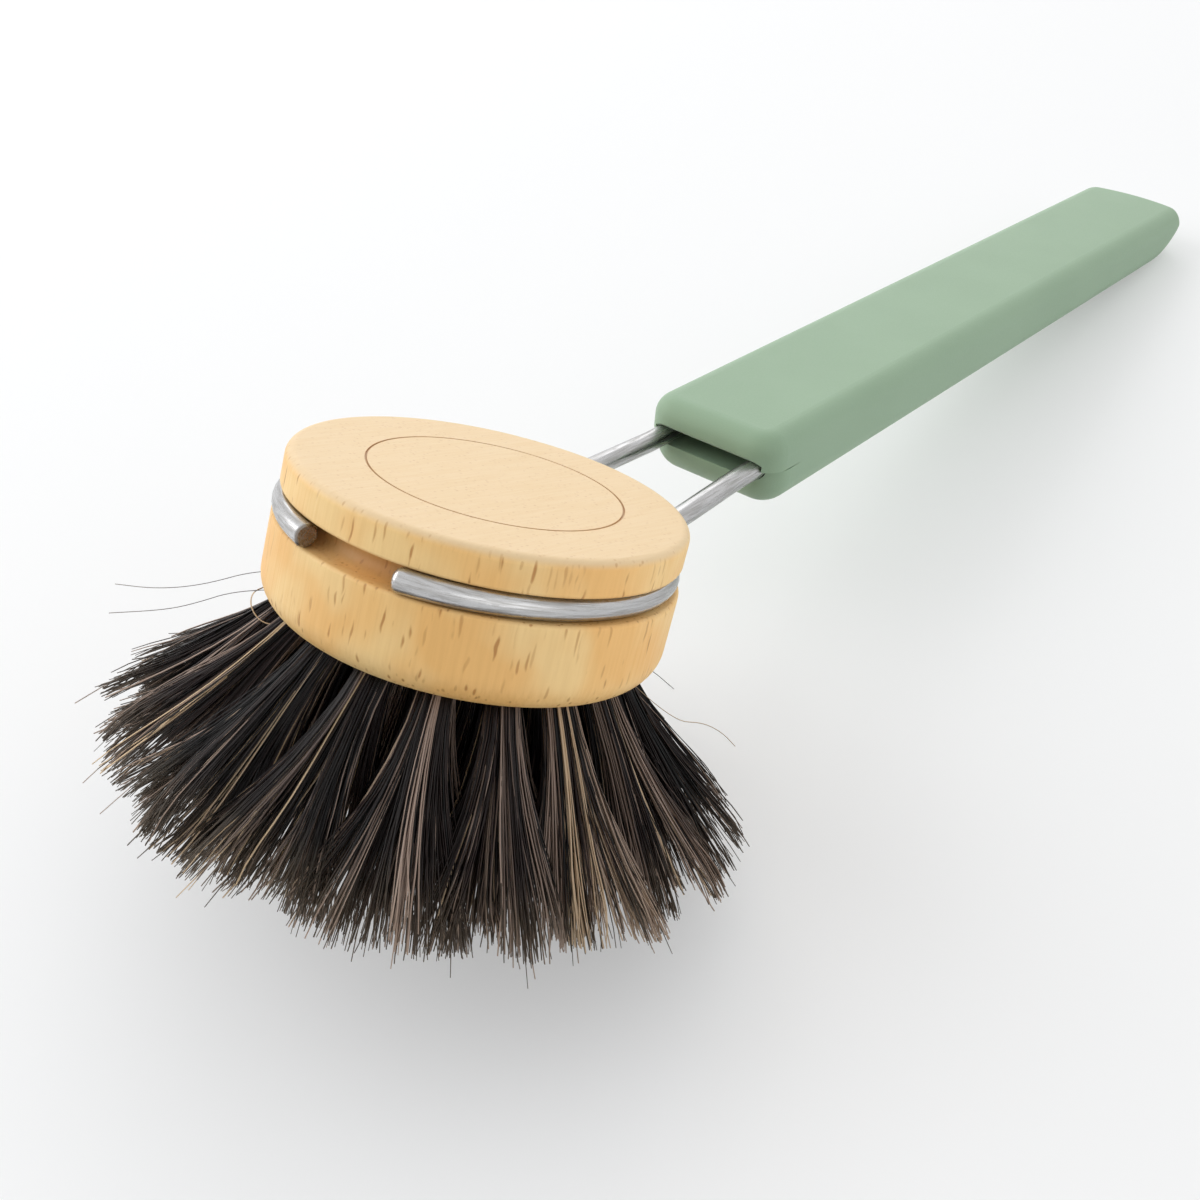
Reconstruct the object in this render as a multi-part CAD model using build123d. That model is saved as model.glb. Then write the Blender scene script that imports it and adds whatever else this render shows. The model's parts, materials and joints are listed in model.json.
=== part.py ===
# Dish brush with a replaceable round head.
#
# A turned beech block carries rings of horsehair tufts. Each tuft is folded over a flat steel anchor and
# driven into a drilled hole. A groove round the block is gripped by the open ring of one long steel wire,
# whose two legs run back side by side, kick up a little behind the block and end in a U-bend inside a soft
# moulded grip. The wire pulls out of the grip, and the block turns in the wire's ring.
#
# Everything is drawn in the head's own frame first: origin on the block's axis at mid-groove, +Z up that
# axis, +X towards the grip. At the end the whole brush is leaned back until it stands on its rear tufts and
# the heel of its grip, with the origin under the middle of its bounding box. Millimetres throughout.
from build123d import *

import math
import os

# Block
block_radius = 25.0
block_lower_swell = 0.4
block_above_groove = 6.2
block_below_groove = 13.1
block_top_rounding = 1.2
block_bottom_rounding = 4.0
mark_radius = 16.0
mark_offset = 0.7
mark_width = 0.25
mark_depth = 0.2

# Wire
wire_radius = 1.5
ring_inset = 1.5
ring_flare_start = 95.0
ring_flare_radius = 26.0
groove_clearance = 0.08
groove_lip_rounding = 0.5
left_flare_angle = 67.5
right_flare_angle = 62.5
left_end_chamfer = 0.3
right_end_rounding = 0.9
neck_offset = 8.9
leg_offset = 7.8
pinch_start = 2.0
pinch_end = 20.0
pinch_radius = 25.0
neck_bend_radius = 5.5
kick_bend_radius = 6.0
kick_angle = 15.0

# Grip
grip_start = 23.0
grip_length = 152.7
grip_front_width = 22.6
grip_rear_width = 21.8
grip_above_wire = 5.6
grip_below_wire = 6.5
grip_corner_rounding = 4.6
grip_top_rounding = 3.2
grip_bottom_rounding = 4.4
grip_end_bulge = 2.2
grip_end_height = 5.6
grip_end_rounding = 1.0
grip_underside_rise = 2.0
grip_heel_length = 11.0
slot_clearance = 0.1
slot_end_wall = 8.0
slot_side_flat = 0.1
slit_length = 9.0
slit_gape = 0.5
lip_bevel = 0.5
lower_lip_setback = 1.3

# Tufts
hole_radius = 2.1
hole_depth = 8.0
tuft_clearance = 0.05
tuft_collar = 1.2
bristle_drop = 21.6
strand_width = 0.45
strand_sink = 1.5
tip_ragged = 0.7
tip_trim = 0.5
root_spread_share = 0.8
golden_share = 0.618

# Rows of tufts: name, number of tufts, strands in each, radius at the block's face, lean from the axis in
# degrees, and half the width of the patch that the tips cover, outwards and sideways
row_names = ("outer", "middle", "inner", "centre")
row_counts = (16, 11, 5, 1)
row_strands = (16, 12, 11, 11)
row_radii = (19.2, 12.9, 6.5, 0.0)
row_leans = (34.0, 20.0, 9.0, 0.0)
row_tip_reach = (7.2, 4.4, 3.4, 3.2)
row_tip_side = (6.0, 5.0, 4.6, 3.2)

# Anchors
anchor_length = 5.3
anchor_thickness = 0.5
anchor_height = 1.7
anchor_cover = 1.5
anchor_clearance = 0.02

overrun = 2.0

ring_radius = block_radius - ring_inset
groove_radius = wire_radius + groove_clearance
face_height = -block_below_groove
grip_end = grip_start + grip_length
kick = math.radians(kick_angle)


def handle_plane():
    """The plane of the wire's legs behind the kick: +X along the legs from the kick, +Z up."""
    pivot = neck_centre_x() + kick_bend_radius * math.tan(kick / 2)
    along = (math.cos(kick), 0, math.sin(kick))
    up = (-math.sin(kick), 0, math.cos(kick))
    return Plane(origin=(pivot, 0, 0), x_dir=along, z_dir=up)


def neck_centre_x():
    """How far back the reverse bends lie that join the ring to the legs."""
    return math.sqrt((ring_radius + neck_bend_radius) ** 2 - (neck_offset + neck_bend_radius) ** 2)


def u_bend_centre():
    """Where along the legs the U-bend's centre lies, inside the grip."""
    return grip_end - slot_end_wall - slot_clearance - wire_radius - leg_offset


def tuft_angles(row):
    """Each tuft's angle round the axis, half a pitch off the grip's direction."""
    return [360 * (i + 0.5) / row_counts[row] for i in range(row_counts[row])]


def tuft_plane(row, angle):
    """Where a tuft leaves the block: +Z down the hair, +X outwards, +Y round the block."""
    lean = math.radians(row_leans[row])
    outward = Vector(1, 0, 0).rotate(Axis.Z, angle)
    axis = Vector(0, 0, 1)
    return Plane(
        origin=outward * row_radii[row] + axis * face_height,
        x_dir=outward * math.cos(lean) + axis * math.sin(lean),
        z_dir=outward * math.sin(lean) - axis * math.cos(lean),
    )


def block_profile():
    """Half of the block's turned outline, with the groove's round floor, walls and rounded lips."""
    top_centre = (block_radius - block_top_rounding, block_above_groove - block_top_rounding)
    lower_radius = block_radius + block_lower_swell
    bottom_centre = (lower_radius - block_bottom_rounding, face_height + block_bottom_rounding)
    lip = groove_radius + groove_lip_rounding
    low_lip = lower_radius - groove_lip_rounding
    high_lip = block_radius - groove_lip_rounding
    outline = [
        Line((0, face_height), (bottom_centre[0], face_height)),
        CenterArc(bottom_centre, block_bottom_rounding, -90, 90),
        Line((lower_radius, bottom_centre[1]), (lower_radius, -lip)),
        CenterArc((low_lip, -lip), groove_lip_rounding, 0, 90),
        Line((low_lip, -groove_radius), (ring_radius, -groove_radius)),
        CenterArc((ring_radius, 0), groove_radius, 270, -180),
        Line((ring_radius, groove_radius), (high_lip, groove_radius)),
        CenterArc((high_lip, lip), groove_lip_rounding, 270, 90),
        Line((block_radius, lip), (block_radius, top_centre[1])),
        CenterArc(top_centre, block_top_rounding, 0, 90),
        Line((top_centre[0], block_above_groove), (0, block_above_groove)),
        Line((0, block_above_groove), (0, face_height)),
    ]
    return Plane.XZ * make_face(outline)


def head_block():
    """The turned block with its ring mark, the drilled holes and the slits that the anchors bit in."""
    block = revolve(block_profile(), Axis.Z)
    outer = Cylinder(mark_radius + mark_width / 2, 2 * mark_depth)
    inner = Cylinder(mark_radius - mark_width / 2, 2 * mark_depth)
    cuts = [Pos(mark_offset, 0, block_above_groove) * (outer - inner)]
    drill = Pos(0, 0, (overrun - hole_depth) / 2) * Cylinder(hole_radius, hole_depth + overrun)
    for row in range(len(row_names)):
        for angle in tuft_angles(row):
            place = tuft_plane(row, angle).location
            cuts.append(place * drill)
            cuts.append(place * anchor(anchor_clearance))
    return block.cut(*cuts)


def anchor(clearance=0.0):
    """One flat anchor in its tuft's own frame, lying across the hole near the blind end."""
    sides = [anchor_thickness, anchor_length, anchor_height]
    box = Box(*[side + 2 * clearance for side in sides])
    return Pos(0, 0, anchor_cover + anchor_height / 2 - hole_depth) * box


def anchor_row(row):
    """All anchors of one row, as separate pieces."""
    return Compound([tuft_plane(row, angle).location * anchor() for angle in tuft_angles(row)])


def strand_ends(row, angle):
    """Root and tip of each strand of a tuft: even on a disc at the root, and fanned out at the tip."""
    plane = tuft_plane(row, angle)
    outward = Vector(1, 0, 0).rotate(Axis.Z, angle)
    side = -1 if angle > 180 else 1
    sideways = Vector(0, side, 0).rotate(Axis.Z, angle)
    flare = bristle_drop * math.tan(math.radians(row_leans[row]))
    patch = outward * (row_radii[row] + flare) + Vector(0, 0, face_height - bristle_drop)
    root_reach = (hole_radius - tuft_clearance) * root_spread_share
    ends = []
    for i in range(row_strands[row]):
        turn = 360 * golden_share * i
        reach = math.sqrt((i + 0.5) / row_strands[row])
        x = reach * math.cos(math.radians(turn))
        y = reach * math.sin(math.radians(turn))
        root_spot = Vector(x * root_reach, side * y * root_reach, tuft_collar - strand_sink)
        lift = tip_ragged * ((i + abs(180 - angle)) * golden_share % 1)
        tip = patch + outward * (x * row_tip_reach[row]) + sideways * (y * row_tip_side[row])
        ends.append((plane.from_local_coords(root_spot), tip + Vector(0, 0, lift)))
    return ends


def strand(root, tip):
    """One bundle of hair, square in section."""
    along = tip - root
    section = Plane(origin=root, z_dir=along) * Rectangle(strand_width, strand_width)
    return extrude(section, along.length)


def tuft(row, angle):
    """One tuft: its packed root, folded round the anchor, with the strands fused to it."""
    length = hole_depth + tuft_collar
    root = Pos(0, 0, (tuft_collar - hole_depth) / 2) * Cylinder(hole_radius - tuft_clearance, length)
    root = tuft_plane(row, angle).location * (root - anchor(anchor_clearance))
    return root.fuse(*[strand(*ends) for ends in strand_ends(row, angle)])


def wire_frame():
    """The one wire: round the groove, back along the legs by the U-bend, and round to its other end."""
    neck_x = neck_centre_x()
    neck_y = neck_offset + neck_bend_radius
    neck_angle = math.degrees(math.atan2(neck_y, neck_x))
    plane = handle_plane()
    kick_length = kick_bend_radius * math.tan(kick / 2)

    def half(side, flare_angle):
        """One side's flared end, ring arc, neck bend, kick and leg, pinched in on its way back."""
        ring_start = side * ring_flare_start
        flare_centre = Vector(ring_radius - ring_flare_radius, 0, 0).rotate(Axis.Z, ring_start)
        flare_end = side * (ring_flare_start + flare_angle)
        flare = CenterArc(flare_centre, ring_flare_radius, flare_end, -side * flare_angle)
        ring = CenterArc((0, 0, 0), ring_radius, ring_start, side * neck_angle - ring_start)
        neck_centre = (neck_x, side * neck_y, 0)
        neck = CenterArc(neck_centre, neck_bend_radius, side * (neck_angle - 180), side * (90 - neck_angle))
        kick_centre = (neck_x, side * neck_offset, kick_bend_radius)
        kick_plane = Plane(origin=kick_centre, x_dir=(1, 0, 0), z_dir=(0, -1, 0))
        rise = kick_plane * CenterArc((0, 0), kick_bend_radius, -90, kick_angle)
        wide = side * neck_offset
        narrow = side * leg_offset
        corners = [(kick_length, wide), (pinch_start, wide), (pinch_end, narrow), (u_bend_centre(), narrow)]
        leg = plane * FilletPolyline(*corners, radius=pinch_radius)
        return [flare, ring, neck, rise, *leg.edges()]

    bend = plane * CenterArc((u_bend_centre(), 0), leg_offset, 90, -180)
    path = Wire([*half(1, left_flare_angle), bend, *half(-1, right_flare_angle)])
    start = Plane(origin=path.position_at(0), z_dir=path.tangent_at(0))
    tube = sweep(start * Circle(wire_radius), path=path)
    right_end, left_end = tube.faces().filter_by(GeomType.PLANE).sort_by(Axis.Y)
    tube = chamfer(left_end.edges(), left_end_chamfer)
    right_end = tube.faces().filter_by(GeomType.PLANE).sort_by(Axis.Y)[0]
    return fillet(right_end.edges(), right_end_rounding)


def grip_plan(front):
    """The grip's outline from above: tapered, with rounded front corners, and run past its end."""
    rear = grip_end + overrun
    taper = (grip_front_width - grip_rear_width) / 2 / grip_length
    front_side = grip_front_width / 2 - taper * (front - grip_start)
    rear_side = grip_front_width / 2 - taper * (rear - grip_start)
    corners = [(rear, -rear_side), (front, -front_side), (front, front_side), (rear, rear_side)]
    plan = make_face(Polyline(*corners, close=True))
    return fillet(plan.vertices().sort_by(Axis.X)[:2], grip_corner_rounding)


def grip_end_plan():
    """The outline that cuts the grip's end to its bulge."""
    side = grip_rear_width / 2
    shoulder = grip_end - grip_end_bulge
    front = grip_start - overrun
    bulge = ThreePointArc((shoulder, -side), (grip_end, 0), (shoulder, side))
    beyond = grip_front_width
    right = [(shoulder, side), (shoulder, beyond), (front, beyond)]
    left = [(front, -beyond), (shoulder, -beyond), (shoulder, -side)]
    return make_face([bulge, Polyline(*right, *left)])


def grip_underside():
    """The underside's line from the side: rising gently, curled up at the heel, and run past the end."""
    mouth = Vector(grip_start, -grip_below_wire)
    heel_start = (grip_end - grip_heel_length, grip_underside_rise - grip_below_wire)
    long = Line(mouth, heel_start)
    before = Line(mouth - (long % 0) * overrun, mouth)
    heel = TangentArc(heel_start, (grip_end, grip_above_wire - grip_end_height), tangent=long % 1)
    past = Line(heel @ 1, heel @ 1 + (heel % 1) * 2 * overrun)
    return [before, long, heel, past]


def grip_hull(front):
    """The soft-edged form that gives the grip its sides and its underside, from the front back."""
    tall = 2 * (grip_above_wire + grip_below_wire)
    underside = grip_underside()
    low_front = underside[0] @ 0
    low_rear = underside[-1] @ 1
    closing = Polyline(low_rear, (low_rear.X, tall), (low_front.X, tall), low_front)
    profile = extrude(Plane.XZ * make_face([*underside, closing]), grip_front_width, both=True)
    hull = Pos(0, 0, -grip_below_wire) * extrude(grip_plan(front), tall) & profile
    low_faces = [face for face in hull.faces() if face.normal_at().Z < 0]
    low_edges = [edge for face in low_faces for edge in face.edges()]
    rim = [edge for edge in low_edges if low_edges.count(edge) == 1]
    return fillet(ShapeList(rim).sort_by(Axis.X)[:-1], grip_bottom_rounding)


def grip_body():
    """The grip's outer form in the handle's plane, with its lower lip set back under the upper one."""
    tall = 2 * (grip_above_wire + grip_below_wire)
    lid = Pos(0, 0, grip_above_wire - tall) * extrude(grip_plan(grip_start), tall)
    top = lid.faces().sort_by(Axis.Z)[-1]
    lid = fillet(top.edges().sort_by(Axis.X)[:-1], grip_top_rounding)

    end = Pos(0, 0, -tall) * extrude(grip_end_plan(), 2 * tall)
    body = lid & grip_hull(grip_start) & end
    body = fillet(body.faces().sort_by(Axis.X)[-1].edges(), grip_end_rounding)

    reach = 2 * grip_corner_rounding + overrun
    low_front = Pos(grip_start - overrun + reach / 2, 0, -tall / 2) * Box(reach, 2 * grip_front_width, tall)
    return body - (low_front - grip_hull(grip_start + lower_lip_setback))


def wedge(depth, half_height, half_width):
    """A flat wedge that opens the grip's front: half_height high at the mouth and closing at depth."""
    slope = half_height / depth
    mouth = grip_start - overrun
    gape = half_height + slope * overrun
    profile = make_face(Polyline((mouth, -gape), (grip_start + depth, 0), (mouth, gape), close=True))
    return extrude(Plane.XZ * profile, half_width, both=True)


def grip_sleeve():
    """The grip: its outer form, less the wire's flat slot, the slit beside it and the lips' bevels."""
    half_width = leg_offset + wire_radius + slot_clearance
    half_height = wire_radius + slot_clearance
    mouth = grip_start - overrun
    centre = u_bend_centre()
    corners = [(centre, -half_width), (mouth, -half_width), (mouth, half_width), (centre, half_width)]
    round_end = CenterArc((centre, 0), half_width, 90, -180)
    slot = extrude(make_face([Polyline(*corners), round_end]), half_height, both=True)
    rims = [face.edges().sort_by(Axis.X)[1:] for face in slot.faces().filter_by(Axis.Z)]
    slot = fillet([edge for rim in rims for edge in rim], half_height - slot_side_flat / 2)
    slit = wedge(slit_length, slit_gape / 2, grip_front_width)
    bevel = wedge(half_height + lip_bevel, half_height + lip_bevel, half_width)
    return handle_plane().location * grip_body().cut(slot, slit, bevel)


def lean_back():
    """The lean, in degrees, that stands the brush on its trimmed rear tips and its grip's heel."""
    heel = grip_underside()[2]
    heel_centre = handle_plane().from_local_coords(Vector(heel.arc_center.X, 0, heel.arc_center.Y))
    leans = []
    for angle in tuft_angles(0):
        for _, tip in strand_ends(0, angle):
            away = Vector(heel_centre.X - tip.X, heel_centre.Z - tip.Z)
            drop = math.asin((heel.radius + tip_trim) / away.length)
            leans.append(math.degrees(math.atan2(away.Y, away.X) - drop))
    return max(leans)


def assembly():
    """Every node by name, in the head's own frame."""
    nodes = {"head_block": head_block(), "wire_frame": wire_frame(), "grip_sleeve": grip_sleeve()}
    for row, name in enumerate(row_names):
        nodes[f"anchors_{name}"] = anchor_row(row)
        for number, angle in enumerate(tuft_angles(row), start=1):
            nodes[f"tuft_{name}_{number:02d}"] = tuft(row, angle)
    return nodes


def stand_up(nodes):
    """Lean the brush back, trim the tufts flat where it stands, and put its middle over the origin."""
    lean = Rotation(0, lean_back(), 0)
    leaned = {name: lean * shape for name, shape in nodes.items()}
    floor = leaned["grip_sleeve"].bounding_box().min.Z
    below = Pos(0, 0, floor - block_radius) * Box(2 * grip_length, 2 * grip_length, 2 * block_radius)
    for name, shape in leaned.items():
        if name.startswith("tuft") and shape.bounding_box().min.Z < floor:
            leaned[name] = shape - below
    boxes = [shape.bounding_box() for shape in leaned.values()]
    middle = (min(box.min.X for box in boxes) + max(box.max.X for box in boxes)) / 2
    place = Pos(-middle, 0, -floor)
    return {name: place * shape for name, shape in leaned.items()}, place * lean


if __name__ == "__main__":
    standing, _ = stand_up(assembly())
    os.makedirs("parts", exist_ok=True)
    for node, shape in standing.items():
        export_step(shape, f"parts/{node}.step")
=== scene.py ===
import json
import math

import bpy
import numpy as np
from mathutils import Matrix, Vector


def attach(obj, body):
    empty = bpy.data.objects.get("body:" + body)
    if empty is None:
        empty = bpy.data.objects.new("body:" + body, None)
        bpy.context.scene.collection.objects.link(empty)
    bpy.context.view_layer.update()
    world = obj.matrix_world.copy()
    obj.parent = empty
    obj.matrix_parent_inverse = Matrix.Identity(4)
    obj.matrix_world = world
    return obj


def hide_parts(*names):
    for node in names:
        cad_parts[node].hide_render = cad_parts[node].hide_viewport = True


bl_info = {
    "name": "Dish brush",
    "version": (1, 0, 0),
    "blender": (4, 5, 0),
    "location": "3D View > Sidebar > Brush",
    "description": "Dresses a dish brush: beech block, steel wire, silicone grip and horsehair tufts",
    "category": "Object",
}

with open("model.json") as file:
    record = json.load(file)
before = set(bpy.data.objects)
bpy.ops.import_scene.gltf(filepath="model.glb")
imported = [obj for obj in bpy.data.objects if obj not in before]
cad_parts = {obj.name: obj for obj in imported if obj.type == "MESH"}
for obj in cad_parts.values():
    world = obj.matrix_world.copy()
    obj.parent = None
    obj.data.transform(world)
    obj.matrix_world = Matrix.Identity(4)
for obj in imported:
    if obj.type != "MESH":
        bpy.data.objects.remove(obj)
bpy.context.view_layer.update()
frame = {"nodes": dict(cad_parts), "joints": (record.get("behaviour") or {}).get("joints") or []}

MM = 0.001

# The head turns about this axis. Its frame has +Z up the axis and +X towards the grip.
spin = frame["joints"][0]
head_spot = Vector(spin["pos_m"])
head_lean = math.atan2(spin["axis"][0], spin["axis"][2])
head_frame = Matrix.Translation(head_spot) @ Matrix.Rotation(head_lean, 4, "Y")

# Sizes of the block that the materials and the hairs follow, in millimetres in the head's frame. The look of
# the side passes into the top's between two heights.
BLOCK_TOP = 6.2
BLOCK_FACE = -13.1
TOP_EDGE_START = BLOCK_TOP - 1.1
TOP_EDGE_END = BLOCK_TOP - 0.15
GROOVE_HALF = 2.1
HOLE_RADIUS = 2.1
HAIR_GAP = 0.15
ANCHOR_DEPTH = 4.6

# The circle engraved on the top, how far from its line the burn ends and is full, and the heights between
# which it sets in
MARK_CENTRE = 0.7
MARK_RADIUS = 16.0
MARK_EDGE = 0.22
MARK_CORE = 0.1
MARK_START = BLOCK_TOP - 0.6
MARK_END = BLOCK_TOP - 0.5

# The wire, in millimetres: its radius, its ring, where the scuffs pass from the ring to the legs, and how
# steeply the legs rise
WIRE_RADIUS = 1.5
RING_RADIUS = 23.5
LEGS_START = 22.0
LEGS_END = 24.0
KICK = math.radians(15.0)

# The ring ends in a wider arc, and the wire is cut at the end of that. The cut's look fades at its edge.
FLARE_RADIUS = 26.0
FLARE_START = math.radians(95.0)
FLARE_END = FLARE_START + math.radians(67.5)
FLARE_SHIFT = RING_RADIUS - FLARE_RADIUS
WIRE_CUT_END = (
    FLARE_SHIFT * math.cos(FLARE_START) + FLARE_RADIUS * math.cos(FLARE_END),
    FLARE_SHIFT * math.sin(FLARE_START) + FLARE_RADIUS * math.sin(FLARE_END),
    0.0,
)
CUT_EDGE = 0.15

# Sizes of the long patterns, and how far the flecks sway, in millimetres: the wood's along the head's axes,
# and the wire's along it, across it and up
FLECK = (0.7, 0.6, 5.2)
FLECK_SWAY = (0.8, 0.8, 2.0)
FIBRE = (0.5, 0.4, 9.0)
LYING_FIBRE = (7.0, 0.45, 0.8)
STREAK = (9.0, 0.32, 0.32)
SCRATCH = (3.0, 0.16, 0.16)

# How many of the other patterns go in a millimetre. The skin's grain is 0.25 mm, a little coarser than the
# real one so that it shows.
SWAYS_PER_MM = 0.35
WOOD_PATCHES_PER_MM = 0.09
MOTTLES_PER_MM = 2.0
CLOUDS_PER_MM = 0.06
SKIN_GRAINS_PER_MM = 4.0

# Depths of the reliefs, in millimetres
WOOD_RELIEF = 0.06
WIRE_RELIEF = 0.015
SKIN_RELIEF = 0.02

# A noise keeps mostly to the middle of 0 to 1. The looks ease over this wide stretch or this narrow one.
NOISE_LOW, NOISE_HIGH = 0.3, 0.7
CORE_LOW, CORE_HIGH = 0.35, 0.65

# Rows of tufts: name, tufts, hairs to a tuft as a share of the outer row's, radius at the block's face in
# millimetres, lean from the axis, and how far the hairs fan out from the lean, outwards and sideways, in
# degrees
ROWS = (
    ("outer", 16, 1.0, 19.2, 34.0, 12.5, 17.0),
    ("middle", 11, 0.85, 12.9, 20.0, 14.0, 15.0),
    ("inner", 5, 0.8, 6.5, 9.0, 12.0, 14.0),
    ("centre", 1, 0.8, 0.0, 0.0, 10.0, 10.0),
)

# The tufts are splayed to one side by use: how far, in degrees, to which side round the axis, and how much
# their leans differ by chance
SPLAY = 1.5
SPLAY_SIDE = math.radians(130)
LEAN_CHANCE = 1.2

# A tuft's hairs end in locks, set out in a spiral: how many, the turn from one to the next in radians, and
# how far they shift by chance, as a share of the tuft's fan
LOCKS = 16
LOCK_TURN = 2.4
LOCK_SHIFT = 0.16

# Hairs that grew together are of one shade: the strands in a tuft, and the share of its hairs that have
# their strand's shade
STRANDS = 36
STRAND_SHARE = 0.72

# How far single hairs and whole locks bow, in millimetres, the points along a hair, the share of hairs that
# stand out past the rest, and how far above the floor the hairs are kept
HAIR_BOW = 0.5
LOCK_BOW = 1.0
HAIR_POINTS = 9
LONG_SHARE = 0.04
FLOOR_GAP = 0.15

# Hairs that stray: the outer tuft that each grows from, its tone, its thickness in millimetres and the
# places that it passes. The places are given as pixels across and down the photograph, and
# millimetres ahead of the camera.
STRAYS = (
    (5, 0.55, 0.11, ((260, 569, 217), (203, 585, 222), (157, 589, 224), (115, 584, 226))),
    (6, 0.55, 0.11, ((237, 590, 212), (193, 604, 216), (163, 610, 218), (109, 613, 220))),
    (6, 0.82, 0.17, ((190, 634, 213), (110, 682, 216), (75, 703, 218))),
    (7, 0.72, 0.14, ((183, 700, 203), (113, 755, 203), (83, 783, 203))),
    (7, 0.72, 0.13, ((217, 717, 201), (133, 785, 200), (100, 814, 199))),
    (7, 0.98, 0.19, ((283, 625, 203), (262, 624, 203), (250, 608, 204), (252, 592, 206), (266, 586, 207))),
    (14, 0.97, 0.13, ((675, 722, 214), (702, 722, 216), (722, 732, 217), (735, 746, 218))),
    (14, 0.75, 0.12, ((680, 740, 212), (697, 762, 213), (722, 799, 214))),
    (15, 0.35, 0.11, ((640, 665, 218), (652, 670, 220), (674, 689, 224))),
    (14, 0.3, 0.13, ((690, 770, 213), (702, 795, 214), (717, 826, 215))),
    (13, 0.3, 0.13, ((680, 790, 209), (697, 815, 209), (723, 854, 210))),
    (11, 0.6, 0.12, ((506, 887, 188), (515, 946, 188), (520, 969, 187))),
)
STRAY_POINTS = 32
STRAY_SMOOTHINGS = 3

# The camera, in the head's frame: where it is in millimetres, where it looks, its up, and its lens
CAMERA_SPOT = (-156.7, -116.5, 64.0)
CAMERA_AHEAD = (0.80022, 0.49760, -0.33473)
CAMERA_UP = (0.14467, 0.38150, 0.91298)
CAMERA_LENS = 50.1
SENSOR_WIDTH = 36.0
PHOTO_WIDTH = 1200

# The lamps: each one's name, place and size, in metres in the row frame. They look at its origin.
LAMPS = (
    ("key", (-0.45, 0.95, 0.7), 1.1),
    ("fill", (-0.35, -1.0, 0.5), 0.9),
    ("rim", (0.85, 0.75, 0.65), 1.0),
)

# The middle of the room's dark side, as a direction in the row frame, and its light as a share of the rest's
DARK_SIDE = (-0.93, -0.34, 0.14)
DARK_SHARE = 0.12

# The floor is a disc of this radius in metres, and this share of what the camera sees of it is white glow.
FLOOR_RADIUS = 2.5
FLOOR_GLOW_SHARE = 0.3

WHITE = (1, 1, 1, 1)

# Settings that several nodes share
EASED = {"interpolation_type": "SMOOTHSTEP"}
MULTIPLIED = {"operation": "MULTIPLY"}
MULTIPLIED_ADDED = {"operation": "MULTIPLY_ADD"}
SUBTRACTED = {"operation": "SUBTRACT"}
ABSOLUTE = {"operation": "ABSOLUTE"}
COLOURS = {"data_type": "RGBA"}

# A Mix node's sockets: its share, then the two that it mixes and what comes out, for colours, for single
# values and for vectors
SHARE = 0
FIRST, SECOND, MIXED = 6, 7, 2
FIRST_VALUE, SECOND_VALUE, MIXED_VALUE = 2, 3, 0
FIRST_VECTOR, SECOND_VECTOR, MIXED_VECTOR = 4, 5, 1


def linear(hex_colour):
    """An sRGB hex colour as linear red, green, blue and alpha."""
    channels = [int(hex_colour[i : i + 2], 16) / 255 for i in (1, 3, 5)]
    return [c / 12.92 if c <= 0.04045 else ((c + 0.055) / 1.055) ** 2.4 for c in channels] + [1.0]


def colour(name, hex_colour, description):
    """A colour setting."""
    return bpy.props.FloatVectorProperty(
        name=name, description=description, subtype="COLOR", size=4, min=0, max=1,
        default=linear(hex_colour),
    )


def length(name, millimetres, description):
    """A length setting, kept in metres."""
    return bpy.props.FloatProperty(
        name=name, description=description, subtype="DISTANCE", unit="LENGTH", min=0,
        default=millimetres * MM,
    )


def share(name, value, description):
    """A setting from 0 to 1."""
    return bpy.props.FloatProperty(
        name=name, description=description, subtype="FACTOR", min=0, max=1, default=value
    )


def power(name, watts, description):
    """A lamp's power setting."""
    return bpy.props.FloatProperty(name=name, description=description, unit="POWER", default=watts)


def whole(name, value, description, **limits):
    """A whole number setting."""
    return bpy.props.IntProperty(name=name, description=description, default=value, **limits)


class BlockSettings(bpy.types.PropertyGroup):
    """Colours and finish of the beech block."""

    side: colour("Side", "#F8C479", "Beech on the turned side wall, oiled")
    side_pale: colour("Side, pale", "#FCD795", "Paler patches of the side wall")
    # The top's paler colour is painted sheen.
    top: colour("Top", "#EACEA3", "Beech on the sanded top")
    fleck: colour("Flecks", "#B1722F", "Ray flecks, the short brown dashes of beech")
    mark: colour("Ring mark", "#B27E4C", "The burnt line engraved on the top")
    # The groove's darker colour is partly oil and dirt and partly painted shade of the recess.
    groove: colour("Groove", "#B98A55", "The groove, darkened by the wire")
    roughness: share("Roughness", 0.5, "Sanded and oiled beech")


class WireSettings(bpy.types.PropertyGroup):
    """Colours and finish of the steel wire."""

    bright: colour("Bright", "#C6C6C7", "Drawn steel between the scuffs")
    dull: colour("Dull", "#94928F", "Drawn steel in the scuffs")
    cut: colour("Cut end", "#867E76", "The sheared end of the wire, tarnished")
    anchor: colour("Anchor", "#A9A8A4", "Stamped steel of the anchors in the holes")


class GripSettings(bpy.types.PropertyGroup):
    """Colours and finish of the silicone grip."""

    silicone: colour("Silicone", "#94AE93", "Moulded silicone")
    silicone_deep: colour("Silicone, deep", "#91AB90", "Slightly deeper patches")
    roughness: share("Roughness", 0.55, "Fine matt skin of the mould")


class HairSettings(bpy.types.PropertyGroup):
    """Sizes and colours of the horsehair."""

    count: whole("Hairs", 460, "Hairs in a tuft of the outer row", min=20)
    drop: length("Drop", 22.8, "Height of the tips below the block's face, where they are trimmed flat")
    reach: length("Length", 29.8, "Length of the hairs that the flat trim doesn't reach")
    thickness: length("Thickness", 0.19, "Thickness of a hair")
    ragged: length("Ragged", 1.9, "How much the hairs differ in length")
    wave: length("Wave", 0.22, "How far a hair waves from its line")
    black: colour("Black", "#070506", "Black hairs")
    brown: colour("Brown", "#261612", "Dark brown hairs")
    taupe: colour("Taupe", "#A28D80", "Grey brown hairs")
    blond: colour("Blond", "#E0C5A0", "Fair hairs")
    seed: whole("Seed", 7, "Another seed gives other hairs")


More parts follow.
